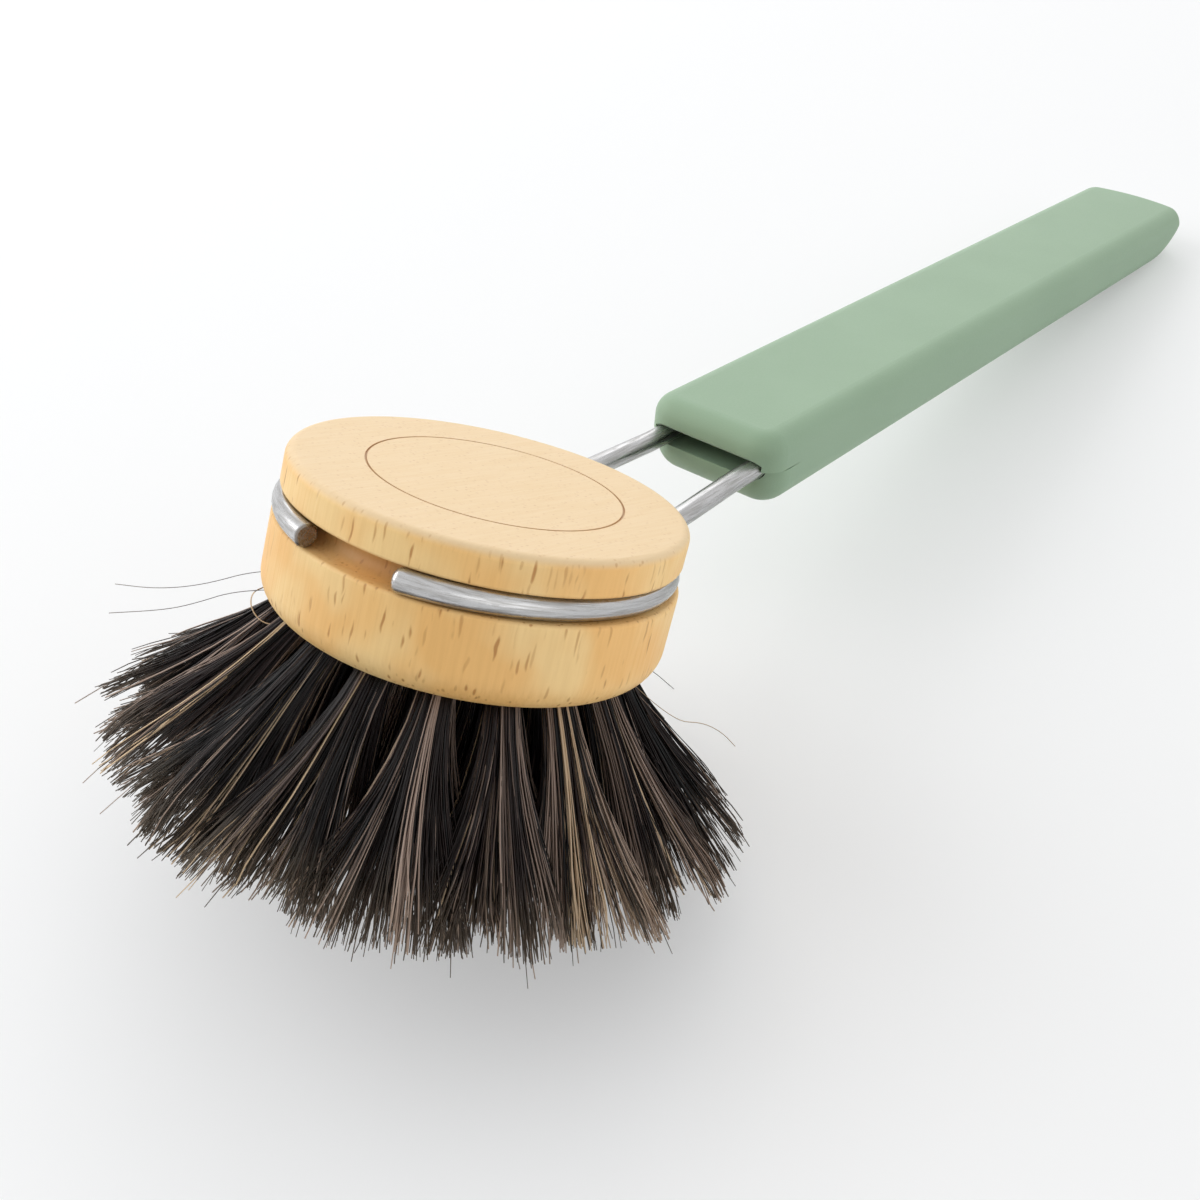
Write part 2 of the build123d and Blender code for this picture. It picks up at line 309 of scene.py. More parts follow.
class StageSettings(bpy.types.PropertyGroup):
    """Floor and light."""

    floor: colour("Floor", "#F2F3F4", "Plain pale floor")
    key: power("Key", 6.8, "Power of the large soft lamp")
    fill: power("Fill", 1.6, "Power of the weak lamp")
    rim: power("Rim", 3.0, "Power of the lamp behind")
    sky: bpy.props.FloatProperty(
        name="Sky", description="Strength of the even light all round", default=0.88
    )


def add_node(tree, kind, settings=(), inputs=()):
    """Add a shader node with its properties. Its inputs, by name or in order, are sockets or values."""
    node = tree.nodes.new("ShaderNode" + kind)
    for name, value in dict(settings).items():
        setattr(node, name, value)
    placed = inputs if isinstance(inputs, dict) else dict(enumerate(inputs))
    for name, value in placed.items():
        if isinstance(value, bpy.types.NodeSocket):
            tree.links.new(value, node.inputs[name])
        else:
            node.inputs[name].default_value = value
    return node


def new_material(name):
    """A material with its node tree and its Principled shader."""
    material = bpy.data.materials.new(name)
    material.use_nodes = True
    return material, material.node_tree, material.node_tree.nodes["Principled BSDF"]


def head_millimetres(tree):
    """Each point's place in the head's frame, in millimetres."""
    place = add_node(tree, "TexCoord").outputs["Object"]
    turned = {"Vector": place, "Location": head_spot, "Rotation": (0, head_lean, 0), "Scale": (MM, MM, MM)}
    return add_node(tree, "Mapping", {"vector_type": "TEXTURE"}, turned).outputs["Vector"]


def per_size(size):
    """How many of a pattern go in a millimetre along each axis."""
    return tuple(1 / side for side in size)


def finish_material(tree, shader, base, roughness=None, height=None, depth=0.0):
    """Link a material's colour, roughness and relief, which is depth millimetres deep."""
    tree.links.new(base, shader.inputs["Base Color"])
    if roughness is not None:
        tree.links.new(roughness, shader.inputs["Roughness"])
    if height is not None:
        bump = add_node(tree, "Bump", (), {"Distance": depth * MM, "Height": height})
        tree.links.new(bump.outputs["Normal"], shader.inputs["Normal"])


def ray_flecks(tree, head):
    """How much each point lies in a ray of the beech: dashes on the side wall, fine specks on the top."""
    slow = {"Vector": head, "Scale": SWAYS_PER_MM, "Detail": 1.0}
    sway = add_node(tree, "TexNoise", (), slow).outputs["Color"]
    swayed = add_node(tree, "VectorMath", MULTIPLIED_ADDED, (sway, FLECK_SWAY, head)).outputs[0]
    drawn = add_node(tree, "Mapping", (), {"Vector": swayed, "Scale": per_size(FLECK)}).outputs[0]
    cells = add_node(tree, "TexVoronoi", (), {"Vector": drawn, "Scale": 1.0}).outputs
    chance = add_node(tree, "SeparateColor", (), (cells["Color"],)).outputs
    spot = add_node(tree, "MapRange", EASED, (cells["Distance"], 0.38, 0.14)).outputs[0]
    chosen = add_node(tree, "MapRange", EASED, (chance[0], 0.44, 0.48)).outputs[0]
    depth = add_node(tree, "MapRange", EASED, (chance[1], 0.0, 1.0, 0.35, 1.0)).outputs[0]
    flecks = add_node(tree, "Math", MULTIPLIED, (spot, chosen)).outputs[0]
    return add_node(tree, "Math", MULTIPLIED, (flecks, depth)).outputs[0]


def ring_mark(tree, parts, fibre):
    """How much each point is burnt by the circle engraved on the top, unevenly along the fibres."""
    from_centre = add_node(tree, "Math", SUBTRACTED, (parts["X"], MARK_CENTRE)).outputs[0]
    square = add_node(tree, "Math", {"operation": "POWER"}, (parts["Y"], 2.0)).outputs[0]
    squares = add_node(tree, "Math", MULTIPLIED_ADDED, (from_centre, from_centre, square)).outputs[0]
    radius = add_node(tree, "Math", {"operation": "SQRT"}, (squares,)).outputs[0]
    past_line = add_node(tree, "Math", SUBTRACTED, (radius, MARK_RADIUS)).outputs[0]
    off_line = add_node(tree, "Math", ABSOLUTE, (past_line,)).outputs[0]
    on_line = add_node(tree, "MapRange", EASED, (off_line, MARK_EDGE, MARK_CORE)).outputs[0]
    on_top = add_node(tree, "MapRange", EASED, (parts["Z"], MARK_START, MARK_END)).outputs[0]
    line = add_node(tree, "Math", MULTIPLIED, (on_line, on_top)).outputs[0]
    uneven = add_node(tree, "MapRange", EASED, (fibre, 0.3, 0.6, 0.35, 0.7)).outputs[0]
    return add_node(tree, "Math", MULTIPLIED, (line, uneven)).outputs[0]


def beech_turned_oiled(looks):
    """Beech, turned, sanded and oiled: straw yellow with short brown ray flecks, a soft satin gloss, and a
    paler top that is painted sheen.
    """
    material, tree, shader = new_material("beech_turned_oiled")
    shader.inputs["IOR"].default_value = 1.5
    head = head_millimetres(tree)
    parts = add_node(tree, "SeparateXYZ", (), (head,)).outputs
    height = parts["Z"]
    flecks = ray_flecks(tree, head)

    # The fibres are a few tenths of a millimetre wide. They stand in the side wall and lie along the top.
    stood = add_node(tree, "Mapping", (), {"Vector": head, "Scale": per_size(FIBRE)}).outputs[0]
    standing = add_node(tree, "TexNoise", (), {"Vector": stood, "Scale": 1.0, "Detail": 4.0}).outputs["Fac"]
    laid = add_node(tree, "Mapping", (), {"Vector": head, "Scale": per_size(LYING_FIBRE)}).outputs[0]
    lying = add_node(tree, "TexNoise", (), {"Vector": laid, "Scale": 1.0, "Detail": 4.0}).outputs["Fac"]
    wide = {"Vector": head, "Scale": WOOD_PATCHES_PER_MM, "Detail": 2.0}
    patches = add_node(tree, "TexNoise", (), wide).outputs["Fac"]

    # The side wall has pale patches. The top is calmer, and its paler colour is painted sheen.
    pale = add_node(tree, "MapRange", EASED, (patches, CORE_LOW, CORE_HIGH)).outputs[0]
    top_share = add_node(tree, "MapRange", EASED, (height, TOP_EDGE_START, TOP_EDGE_END)).outputs[0]
    walls = {SHARE: pale, FIRST: looks.side, SECOND: looks.side_pale}
    base = add_node(tree, "Mix", COLOURS, walls).outputs[MIXED]
    base = add_node(tree, "Mix", COLOURS, {SHARE: top_share, FIRST: base, SECOND: looks.top}).outputs[MIXED]
    fibres = {SHARE: top_share, FIRST_VALUE: standing, SECOND_VALUE: lying}
    grain = add_node(tree, "Mix", (), fibres).outputs[MIXED_VALUE]
    lines = add_node(tree, "MapRange", EASED, (grain, NOISE_LOW, NOISE_HIGH, 0.08, 0.0)).outputs[0]
    calm = add_node(tree, "MapRange", EASED, (top_share, 0.0, 1.0, 1.0, 0.5)).outputs[0]
    shade = add_node(tree, "Math", MULTIPLIED, (lines, calm)).outputs[0]
    base = add_node(tree, "Mix", COLOURS, {SHARE: shade, FIRST: base, SECOND: looks.fleck}).outputs[MIXED]
    strong = add_node(tree, "MapRange", EASED, (height, TOP_EDGE_START, TOP_EDGE_END, 0.8, 0.25)).outputs[0]
    shown = add_node(tree, "Math", MULTIPLIED, (flecks, strong)).outputs[0]
    base = add_node(tree, "Mix", COLOURS, {SHARE: shown, FIRST: base, SECOND: looks.fleck}).outputs[MIXED]

    # The groove is darker, partly from oil and dirt where the wire lies and partly as painted shade of the
    # recess.
    off_middle = add_node(tree, "Math", ABSOLUTE, (height,)).outputs[0]
    groove_dirt_and_shade_range = (off_middle, GROOVE_HALF, GROOVE_HALF / 2, 0.0, 0.55)
    groove_dirt_and_shade = add_node(tree, "MapRange", EASED, groove_dirt_and_shade_range).outputs[0]
    base = add_node(tree, "Mix", COLOURS, {SHARE: groove_dirt_and_shade, FIRST: base, SECOND: looks.groove}).outputs[MIXED]

    burnt = ring_mark(tree, parts, lying)
    base = add_node(tree, "Mix", COLOURS, {SHARE: burnt, FIRST: base, SECOND: looks.mark}).outputs[MIXED]

    rough, smooth = looks.roughness + 0.08, looks.roughness - 0.06
    roughness = add_node(tree, "MapRange", EASED, (grain, NOISE_LOW, NOISE_HIGH, rough, smooth)).outputs[0]
    sunk = add_node(tree, "Math", MULTIPLIED, (flecks, 0.3)).outputs[0]
    relief = add_node(tree, "Math", SUBTRACTED, (grain, sunk)).outputs[0]
    finish_material(tree, shader, base, roughness, relief, WOOD_RELIEF)
    return material


def along_wire(tree, head, parts):
    """Places that follow the wire: round the ring by the angle about the axis, and up the legs."""
    flat = add_node(tree, "CombineXYZ", (), {"X": parts["X"], "Y": parts["Y"]}).outputs[0]
    radius = add_node(tree, "VectorMath", {"operation": "LENGTH"}, (flat,)).outputs["Value"]
    turn = add_node(tree, "Math", {"operation": "ARCTAN2"}, (parts["Y"], parts["X"])).outputs[0]
    travel = add_node(tree, "Math", MULTIPLIED, (turn, RING_RADIUS)).outputs[0]
    ring = add_node(tree, "CombineXYZ", (), (travel, radius, parts["Z"])).outputs[0]
    legs = add_node(tree, "Mapping", (), {"Vector": head, "Rotation": (0, KICK, 0)}).outputs["Vector"]
    on_legs = add_node(tree, "MapRange", EASED, (parts["X"], LEGS_START, LEGS_END)).outputs[0]
    ways = {SHARE: on_legs, FIRST_VECTOR: ring, SECOND_VECTOR: legs}
    return add_node(tree, "Mix", {"data_type": "VECTOR"}, ways).outputs[MIXED_VECTOR]


def steel_wire_drawn(looks):
    """Stainless steel, drawn and bent: bright, with fine scuffs that run along the wire."""
    material, tree, shader = new_material("steel_wire_drawn")
    shader.inputs["Metallic"].default_value = 1.0
    head = head_millimetres(tree)
    parts = add_node(tree, "SeparateXYZ", (), (head,)).outputs
    along = along_wire(tree, head, parts)

    long = add_node(tree, "Mapping", (), {"Vector": along, "Scale": per_size(STREAK)}).outputs[0]
    drawn = {"Vector": long, "Scale": 1.0, "Detail": 6.0, "Roughness": 0.65}
    streaks = add_node(tree, "TexNoise", (), drawn).outputs["Fac"]
    short = add_node(tree, "Mapping", (), {"Vector": along, "Scale": per_size(SCRATCH)}).outputs[0]
    scratches = add_node(tree, "TexNoise", (), {"Vector": short, "Scale": 1.0, "Detail": 3.0}).outputs["Fac"]
    scuffed = add_node(tree, "MapRange", EASED, (streaks, 0.38, 0.68, 0.1, 0.8)).outputs[0]
    cuts = add_node(tree, "MapRange", EASED, (scratches, 0.60, 0.68)).outputs[0]
    scuffs = {SHARE: scuffed, FIRST: looks.bright, SECOND: looks.dull}
    base = add_node(tree, "Mix", COLOURS, scuffs).outputs[MIXED]
    dulled = add_node(tree, "Math", MULTIPLIED, (cuts, 0.4)).outputs[0]
    base = add_node(tree, "Mix", COLOURS, {SHARE: dulled, FIRST: base, SECOND: looks.dull}).outputs[MIXED]

    # The sheared end is a flat disc, so only its points lie within the wire's radius of its centre.
    off_end = add_node(tree, "VectorMath", {"operation": "DISTANCE"}, (head, WIRE_CUT_END)).outputs["Value"]
    on_end = add_node(tree, "MapRange", EASED, (off_end, WIRE_RADIUS, WIRE_RADIUS - CUT_EDGE)).outputs[0]
    base = add_node(tree, "Mix", COLOURS, {SHARE: on_end, FIRST: base, SECOND: looks.cut}).outputs[MIXED]
    roughness = add_node(tree, "MapRange", EASED, (streaks, CORE_LOW, CORE_HIGH, 0.18, 0.36)).outputs[0]
    sunk = add_node(tree, "Math", MULTIPLIED, (cuts, 0.5)).outputs[0]
    relief = add_node(tree, "Math", SUBTRACTED, (streaks, sunk)).outputs[0]
    finish_material(tree, shader, base, roughness, relief, WIRE_RELIEF)
    return material


def steel_strip_stamped(looks):
    """Mild steel, stamped from strip: dull grey with a faint mottle."""
    material, tree, shader = new_material("steel_strip_stamped")
    shader.inputs["Metallic"].default_value = 1.0
    head = head_millimetres(tree)
    small = {"Vector": head, "Scale": MOTTLES_PER_MM, "Detail": 3.0}
    mottle = add_node(tree, "TexNoise", (), small).outputs["Fac"]
    dulled = add_node(tree, "MapRange", EASED, (mottle, CORE_LOW, CORE_HIGH, 0.0, 0.4)).outputs[0]
    dulls = {SHARE: dulled, FIRST: looks.anchor, SECOND: looks.dull}
    base = add_node(tree, "Mix", COLOURS, dulls).outputs[MIXED]
    roughness = add_node(tree, "MapRange", EASED, (mottle, NOISE_LOW, NOISE_HIGH, 0.35, 0.55)).outputs[0]
    finish_material(tree, shader, base, roughness)
    return material


def silicone_moulded(looks):
    """Silicone, moulded: sage green, soft and matt, with a very fine skin and light in its edges."""
    material, tree, shader = new_material("silicone_moulded")
    shader.inputs["IOR"].default_value = 1.41
    shader.inputs["Subsurface Weight"].default_value = 0.25
    shader.inputs["Subsurface Radius"].default_value = (1.0, 1.0, 0.8)
    shader.inputs["Subsurface Scale"].default_value = 1.2 * MM
    shader.inputs["Sheen Weight"].default_value = 0.08
    head = head_millimetres(tree)
    wide = {"Vector": head, "Scale": CLOUDS_PER_MM, "Detail": 2.0}
    clouds = add_node(tree, "TexNoise", (), wide).outputs["Fac"]
    fine = {"Vector": head, "Scale": SKIN_GRAINS_PER_MM, "Detail": 3.0}
    skin = add_node(tree, "TexNoise", (), fine).outputs["Fac"]
    deep = add_node(tree, "MapRange", EASED, (clouds, CORE_LOW, CORE_HIGH)).outputs[0]
    patches = {SHARE: deep, FIRST: looks.silicone, SECOND: looks.silicone_deep}
    base = add_node(tree, "Mix", COLOURS, patches).outputs[MIXED]
    smooth, rough = looks.roughness - 0.05, looks.roughness + 0.07
    roughness = add_node(tree, "MapRange", EASED, (skin, NOISE_LOW, NOISE_HIGH, smooth, rough)).outputs[0]
    finish_material(tree, shader, base, roughness, skin, SKIN_RELIEF)
    return material


def horsehair_trimmed(looks):
    """Horsehair, dressed and trimmed: glossy black, brown, grey brown and fair hairs, fairer at the tips."""
    material, tree, shader = new_material("horsehair_trimmed")
    shader.inputs["IOR"].default_value = 1.55
    shader.inputs["Specular IOR Level"].default_value = 0.3
    shader.inputs["Roughness"].default_value = 0.35
    tone = add_node(tree, "Attribute", {"attribute_name": "tone"}).outputs["Fac"]
    along = add_node(tree, "Attribute", {"attribute_name": "along"}).outputs["Fac"]
    ramp = add_node(tree, "ValToRGB", (), (tone,))
    stops = (
        (0.0, looks.black), (0.52, looks.brown), (0.72, looks.taupe), (0.9, looks.taupe), (1.0, looks.blond),
    )
    while len(ramp.color_ramp.elements) < len(stops):
        ramp.color_ramp.elements.new(0.5)
    for element, (place, stop) in zip(ramp.color_ramp.elements, stops):
        element.position = place
        element.color = stop
    tips = add_node(tree, "MapRange", EASED, (along, 0.6, 1.0, 0.0, 0.1)).outputs[0]
    tipped = {SHARE: tips, FIRST: ramp.outputs["Color"], SECOND: looks.blond}
    base = add_node(tree, "Mix", COLOURS, tipped).outputs[MIXED]
    finish_material(tree, shader, base)
    return material


def dress(nodes, material):
    """Give CAD nodes a material."""
    for name in nodes:
        slots = frame["nodes"][name].data.materials
        slots.clear()
        slots.append(material)


def hair_faces(points):
    """The faces of one closed three-sided hair: its sides, its tip and the cap at its root."""
    faces = []
    for ring in range(points - 1):
        for side in range(3):
            after = (side + 1) % 3
            faces.append((3 * ring + side, 3 * ring + after, 3 * ring + 3 + after, 3 * ring + 3 + side))
    tip = 3 * points
    return faces + [(tip - 3, tip - 2, tip), (tip - 2, tip - 1, tip), (tip - 1, tip - 3, tip), (0, 2, 1)]


def hair_mesh(name, paths, radii, tones, material):
    """One object of closed hairs. Paths are hairs by points by 3, in metres in the row frame."""
    hairs, points = paths.shape[:2]
    tangents = np.gradient(paths, axis=1)
    tangents /= np.linalg.norm(tangents, axis=2, keepdims=True)
    chord = tangents.mean(axis=1)
    aside = np.where(np.abs(chord[:, :1]) < 0.7, [[1.0, 0.0, 0.0]], [[0.0, 1.0, 0.0]])
    first = np.cross(tangents, aside[:, None, :])
    first /= np.linalg.norm(first, axis=2, keepdims=True)
    second = np.cross(tangents, first)

    turns = np.arange(3) * 2 * math.pi / 3
    rim = first[:, :, None] * np.cos(turns)[:, None] + second[:, :, None] * np.sin(turns)[:, None]
    rings = paths[:, :, None] + rim * radii[:, :, None, None]
    ends = paths[:, -1] + tangents[:, -1] * radii[:, -1:]
    corners = np.concatenate([rings.reshape(hairs, -1, 3), ends[:, None]], axis=1)
    per_hair = corners.shape[1]
    faces = hair_faces(points)
    starts = [per_hair * hair for hair in range(hairs)]
    all_faces = [tuple(corner + start for corner in face) for start in starts for face in faces]

    mesh = bpy.data.meshes.new(name)
    mesh.from_pydata(corners.reshape(-1, 3), [], all_faces)
    mesh.polygons.foreach_set("use_smooth", [True] * len(all_faces))
    along = np.append(np.repeat(np.linspace(0, 1, points), 3), 1.0)
    for label, values in (("tone", np.repeat(tones, per_hair)), ("along", np.tile(along, hairs))):
        mesh.attributes.new(label, "FLOAT", "POINT").data.foreach_set("value", values.astype(np.float32))
    mesh.materials.append(material)
    mesh.update()
    piece = bpy.data.objects.new(name, mesh)
    bpy.context.scene.collection.objects.link(piece)
    return piece


def to_row(points):
    """Points in the head's frame in millimetres, moved to the row frame in metres and kept off the floor."""
    turn = np.array(head_frame.to_3x3())
    moved = points * MM @ turn.T + np.array(head_spot)
    moved[..., 2] = np.maximum(moved[..., 2], FLOOR_GAP * MM)
    return moved


def in_locks(rng, disc):
    """Each hair's lock, and its place on the disc of tips, drawn part of the way to its lock's middle."""
    count = len(disc)
    lock_spread = np.sqrt((np.arange(LOCKS) + 0.5) / LOCKS)
    lock_turn = np.arange(LOCKS) * LOCK_TURN + rng.uniform(0, 6)
    lock_disc = np.stack([lock_spread * np.cos(lock_turn), lock_spread * np.sin(lock_turn)], axis=1)
    lock_shift = rng.normal(0, LOCK_SHIFT, (LOCKS, 2))
    distance = np.linalg.norm(disc[:, None] - lock_disc, axis=2) + rng.uniform(0, 0.12, (count, LOCKS))
    lock = distance.argmin(axis=1)
    gather = rng.uniform(0.25, 0.8, (count, 1))
    gathered = disc * (1 - gather) + lock_disc[lock] * gather
    return lock, gathered + lock_shift[lock] + rng.normal(0, 0.06, (count, 2))


def hair_sizes(rng, hair, heading, lock):
    """Each hair's length: up to the flat trim, or its full reach where it ends short of that, and ragged."""
    count = len(lock)
    room = hair.drop / MM / np.maximum(-heading[:, 2], 0.1)
    size = np.minimum(room, hair.reach / MM)
    ragged = hair.ragged / MM
    size -= rng.exponential(0.35, count) * ragged - 0.3 * ragged
    size += rng.normal(0, 0.4, LOCKS)[lock] * ragged + rng.normal(0, 0.25) * ragged
    size += (rng.uniform(0, 1, count) < LONG_SHARE) * rng.uniform(0.3, 1.4, count) * ragged
    return size[:, None]


def hair_tones(rng, disc):
    """Each hair's tone. Neighbouring hairs are often of one shade, because they grew together."""
    strand_disc = rng.uniform(-1, 1, (STRANDS, 2))
    strand = np.linalg.norm(disc[:, None] - strand_disc, axis=2).argmin(axis=1)
    together = rng.uniform(0, 1, STRANDS)[strand] ** 1.5
    alone = rng.uniform(0, 1, len(disc)) ** 1.9
    return np.where(rng.uniform(0, 1, len(disc)) < STRAND_SHARE, together, alone)


def tuft_paths(rng, hair, row, angle):
    """The hairs of one tuft: packed at the hole, then fanned out in locks to ragged tips."""
    _, _, portion, radius, lean, fan_out, fan_side = row
    count = int(hair.count * portion)
    lean += SPLAY * math.cos(angle - SPLAY_SIDE) * radius / ROWS[0][3] + rng.normal(0, LEAN_CHANCE)
    lean = math.radians(lean)
    outward = np.array((math.cos(angle), math.sin(angle), 0))
    sideways = np.array((-math.sin(angle), math.cos(angle), 0))
    up = np.array((0, 0, 1.0))
    axis = outward * math.sin(lean) - up * math.cos(lean)
    across = outward * math.cos(lean) + up * math.sin(lean)
    mouth = outward * radius + up * BLOCK_FACE

    spread = np.sqrt(rng.uniform(0, 1, count))
    turn = rng.uniform(0, 2 * math.pi, count)
    disc = np.stack([spread * np.cos(turn), spread * np.sin(turn)], axis=1)
    lock, tip_disc = in_locks(rng, disc)

    packed = (HOLE_RADIUS - HAIR_GAP) * disc
    root = mouth + packed[:, :1] * across + packed[:, 1:] * sideways
    out_turn = np.radians(tip_disc[:, :1] * fan_out * rng.uniform(0.9, 1.1))
    side_turn = np.radians(tip_disc[:, 1:] * fan_side * rng.uniform(0.9, 1.1) + rng.normal(0, 1.0))
    heading = axis + np.tan(out_turn) * across + np.tan(side_turn) * sideways
    heading /= np.linalg.norm(heading, axis=1, keepdims=True)
    size = hair_sizes(rng, hair, heading, lock)
    tip = root + heading * size

    # Each hair is a cubic curve that leaves the hole nearly along it, bows and waves.
    leave = axis + 0.05 * (disc[:, :1] * across + disc[:, 1:] * sideways)
    leave /= np.linalg.norm(leave, axis=1, keepdims=True)
    bow = rng.normal(0, HAIR_BOW, (count, 3)) + rng.normal(0, LOCK_BOW, (LOCKS, 3))[lock]
    near = root + leave * size * 0.5 + 0.3 * bow
    far = tip - heading * size * 0.22 + bow * rng.uniform(0.3, 1.0, (count, 1))
    steps = np.linspace(0, 1, HAIR_POINTS)[None, :, None]
    path = (
        root[:, None] * (1 - steps) ** 3
        + 3 * near[:, None] * steps * (1 - steps) ** 2
        + 3 * far[:, None] * steps**2 * (1 - steps)
        + tip[:, None] * steps**3
    )
    phase = rng.uniform(0, 2 * math.pi, (count, 1, 1))
    waves = rng.uniform(0.8, 1.9, (count, 1, 1))
    swing = rng.normal(0, hair.wave / MM, (count, 1, 3))
    path = path + swing * np.sin(phase + 2 * math.pi * waves * steps) * steps

    deep = root - axis * ANCHOR_DEPTH
    path = np.concatenate([deep[:, None], path], axis=1)
    return path, hair_tones(rng, disc)


def photo_place(across, down, ahead):
    """The place in the head's frame that the camera sees at a pixel, that many millimetres ahead of it."""
    view, up = np.array(CAMERA_AHEAD), np.array(CAMERA_UP)
    slant = SENSOR_WIDTH / (CAMERA_LENS * PHOTO_WIDTH)
    aside = (across - PHOTO_WIDTH / 2) * slant * np.cross(view, up)
    above = (PHOTO_WIDTH / 2 - down) * slant * up
    return np.array(CAMERA_SPOT) + ahead * (view + aside + above)


def stray_path(number, places):
    """A stray hair's smooth line: out of the middle of its tuft's hole, past its places, in even steps."""
    _, tufts, _, radius, lean, _, _ = ROWS[0]
    angle = 2 * math.pi * (number - 0.5) / tufts
    lean = math.radians(lean)
    mouth = np.array((radius * math.cos(angle), radius * math.sin(angle), BLOCK_FACE))
    axis = np.array((math.sin(lean) * math.cos(angle), math.sin(lean) * math.sin(angle), -math.cos(lean)))
    line = np.array([mouth - axis * ANCHOR_DEPTH, mouth, *(photo_place(*place) for place in places)])
    for _ in range(STRAY_SMOOTHINGS):
        before = 0.75 * line[:-1] + 0.25 * line[1:]
        after = 0.25 * line[:-1] + 0.75 * line[1:]
        line = np.concatenate([line[:1], np.stack([before, after], axis=1).reshape(-1, 3), line[-1:]])
    far = np.append(0, np.cumsum(np.linalg.norm(np.diff(line, axis=0), axis=1)))
    steps = np.linspace(0, far[-1], STRAY_POINTS)
    return np.stack([np.interp(steps, far, line[:, axis]) for axis in range(3)], axis=1)


def hair_radii(rng, thickness, tones, points):
    """Each hair's radius along it: even, thinner at the end, and the fair hairs are the coarser ones."""
    width = thickness / 2 * rng.uniform(0.7, 1.25, (len(tones), 1)) * (0.9 + 0.4 * tones[:, None])
    taper = np.ones(points)
    taper[-2:] = (0.92, 0.7)
    return width * taper


class BRUSH_OT_block(bpy.types.Operator):
    """Give the turned block its beech"""

    bl_idname = "brush.block"
    bl_label = "Beech block"

    def execute(self, context):
        dress(["head_block"], beech_turned_oiled(context.scene.brush_block))
        return {"FINISHED"}


class BRUSH_OT_wire(bpy.types.Operator):
    """Give the wire its drawn steel, and the anchors their stamped steel"""

    bl_idname = "brush.wire"
    bl_label = "Steel wire and anchors"

    def execute(self, context):
        looks = context.scene.brush_wire
        dress(["wire_frame"], steel_wire_drawn(looks))
        dress([name for name in frame["nodes"] if name.startswith("anchors")], steel_strip_stamped(looks))
        return {"FINISHED"}


class BRUSH_OT_grip(bpy.types.Operator):
    """Give the grip its silicone"""

    bl_idname = "brush.grip"
    bl_label = "Silicone grip"

    def execute(self, context):
        dress(["grip_sleeve"], silicone_moulded(context.scene.brush_grip))
        return {"FINISHED"}


class BRUSH_OT_tufts(bpy.types.Operator):
    """Make every tuft's hairs, and a few that stray"""

    bl_idname = "brush.tufts"
    bl_label = "Horsehair tufts"

    def execute(self, context):
        hair = context.scene.brush_hair
        material = horsehair_trimmed(hair)
        rng = np.random.default_rng(hair.seed)
        for row in ROWS:
            for number in range(row[1]):
                angle = 2 * math.pi * (number + 0.5) / row[1]
                paths, tones = tuft_paths(rng, hair, row, angle)
                radii = hair_radii(rng, hair.thickness, tones, paths.shape[1])
                name = f"{row[0]}_{number + 1:02d}"
                piece = hair_mesh(f"hairs_{name}", to_row(paths), radii, tones, material)
                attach(piece, "head")
                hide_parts(f"tuft_{name}")

        paths = np.array([stray_path(number, places) for number, _, _, places in STRAYS])
        tones = np.array([tone for _, tone, _, _ in STRAYS])
        radii = np.array([[thickness / 2 * MM] * STRAY_POINTS for _, _, thickness, _ in STRAYS])
        piece = hair_mesh("hairs_stray", to_row(paths), radii, tones, material)
        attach(piece, "head")
        return {"FINISHED"}


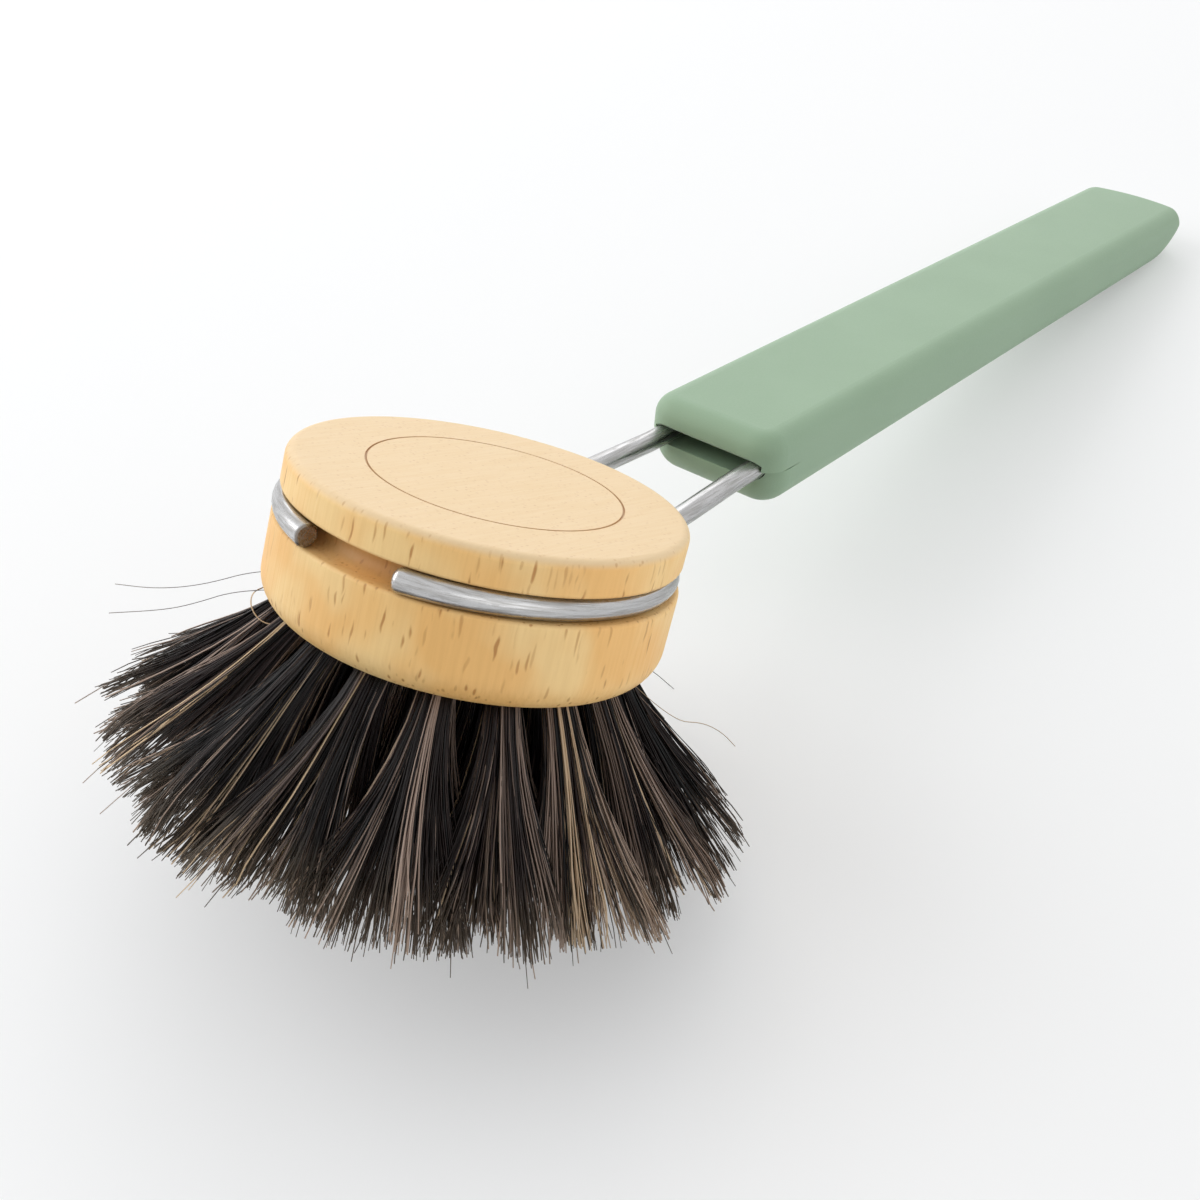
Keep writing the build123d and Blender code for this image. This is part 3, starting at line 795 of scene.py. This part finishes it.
class BRUSH_OT_stage(bpy.types.Operator):
    """Make the floor, the light and the camera"""

    bl_idname = "brush.stage"
    bl_label = "Floor, light and camera"

    def execute(self, context):
        scene = context.scene
        looks = scene.brush_stage
        scene.view_settings.view_transform = "Standard"
        self.floor(looks)
        self.world(scene, looks)
        for name, spot, size in LAMPS:
            self.lamp(name, spot, size, getattr(looks, name))
        self.camera(scene)
        return {"FINISHED"}

    def floor(self, looks):
        """A pale disc that glows a little to the camera."""
        bpy.ops.mesh.primitive_circle_add(
            vertices=96, radius=FLOOR_RADIUS, fill_type="NGON", location=(0, 0, 0)
        )
        floor = bpy.context.object
        floor.name = "floor"
        material, tree, shader = new_material("floor_painted")
        shader.inputs["Base Color"].default_value = looks.floor
        shader.inputs["Roughness"].default_value = 0.7
        white = add_node(tree, "Emission", (), {"Color": WHITE, "Strength": 1.0})
        seen = add_node(tree, "LightPath").outputs["Is Camera Ray"]
        part = add_node(tree, "Math", MULTIPLIED, (seen, FLOOR_GLOW_SHARE)).outputs[0]
        mix = add_node(tree, "MixShader", (), (part, shader.outputs[0], white.outputs[0]))
        tree.links.new(mix.outputs[0], tree.nodes["Material Output"].inputs["Surface"])
        floor.data.materials.append(material)

    def world(self, scene, looks):
        """White to the camera, in gloss and through glass, and even light with a dark side for all else."""
        world = bpy.data.worlds.new("studio")
        scene.world = world
        world.use_nodes = True
        tree = world.node_tree
        path = add_node(tree, "LightPath").outputs
        greater = {"operation": "MAXIMUM"}
        seen = add_node(tree, "Math", greater, (path["Is Camera Ray"], path["Is Glossy Ray"])).outputs[0]
        seen = add_node(tree, "Math", greater, (seen, path["Is Transmission Ray"])).outputs[0]
        # The photographer's side of the room is dark, so what faces it gets less light.
        toward = add_node(tree, "TexCoord").outputs["Generated"]
        dot = {"operation": "DOT_PRODUCT"}
        facing = add_node(tree, "VectorMath", dot, (toward, DARK_SIDE)).outputs["Value"]
        dark = DARK_SHARE * looks.sky
        even = add_node(tree, "MapRange", EASED, (facing, 0.3, 0.95, looks.sky, dark)).outputs[0]
        lights = {SHARE: seen, FIRST_VALUE: even, SECOND_VALUE: 1.0}
        strength = add_node(tree, "Mix", (), lights).outputs[MIXED_VALUE]
        background = tree.nodes["Background"]
        background.inputs["Color"].default_value = WHITE
        tree.links.new(strength, background.inputs["Strength"])

    def lamp(self, name, spot, size, watts):
        """A square soft lamp that looks at the brush."""
        lamp = bpy.data.objects.new(name, bpy.data.lights.new(name, "AREA"))
        lamp.data.size = size
        lamp.data.energy = watts
        lamp.location = spot
        lamp.rotation_euler = (-Vector(spot)).to_track_quat("-Z", "Y").to_euler()
        bpy.context.scene.collection.objects.link(lamp)

    def camera(self, scene):
        """The photograph's camera."""
        camera = bpy.data.objects.new("camera", bpy.data.cameras.new("camera"))
        scene.collection.objects.link(camera)
        scene.camera = camera
        ahead, up = Vector(CAMERA_AHEAD), Vector(CAMERA_UP)
        turn = Matrix((ahead.cross(up), up, -ahead)).transposed().to_4x4()
        camera.matrix_world = head_frame @ Matrix.Translation(Vector(CAMERA_SPOT) * MM) @ turn
        camera.data.lens = CAMERA_LENS
        camera.data.clip_start = 0.01


class BRUSH_PT_panel(bpy.types.Panel):
    """The brush's steps and settings"""

    bl_label = "Dish brush"
    bl_space_type = "VIEW_3D"
    bl_region_type = "UI"
    bl_category = "Brush"

    def draw(self, context):
        for operator, settings in STEPS:
            box = self.layout.box()
            box.operator(operator.bl_idname)
            group = getattr(context.scene, settings)
            for name in group.bl_rna.properties.keys():
                if name not in ("rna_type", "name"):
                    box.prop(group, name)


SETTINGS = {
    "brush_block": BlockSettings,
    "brush_wire": WireSettings,
    "brush_grip": GripSettings,
    "brush_hair": HairSettings,
    "brush_stage": StageSettings,
}
STEPS = (
    (BRUSH_OT_block, "brush_block"),
    (BRUSH_OT_wire, "brush_wire"),
    (BRUSH_OT_grip, "brush_grip"),
    (BRUSH_OT_tufts, "brush_hair"),
    (BRUSH_OT_stage, "brush_stage"),
)
CLASSES = (*SETTINGS.values(), *(operator for operator, _ in STEPS), BRUSH_PT_panel)


def register():
    """Add the classes, and their settings to the scene."""
    for each in CLASSES:
        bpy.utils.register_class(each)
    for name, group in SETTINGS.items():
        setattr(bpy.types.Scene, name, bpy.props.PointerProperty(type=group))


def unregister():
    """Take them away again."""
    for name in SETTINGS:
        delattr(bpy.types.Scene, name)
    for each in reversed(CLASSES):
        bpy.utils.unregister_class(each)


def main():
    """Make everything."""
    register()
    for operator, _ in STEPS:
        area, name = operator.bl_idname.split(".")
        getattr(getattr(bpy.ops, area), name)()


if __name__ == "__main__":
    main()
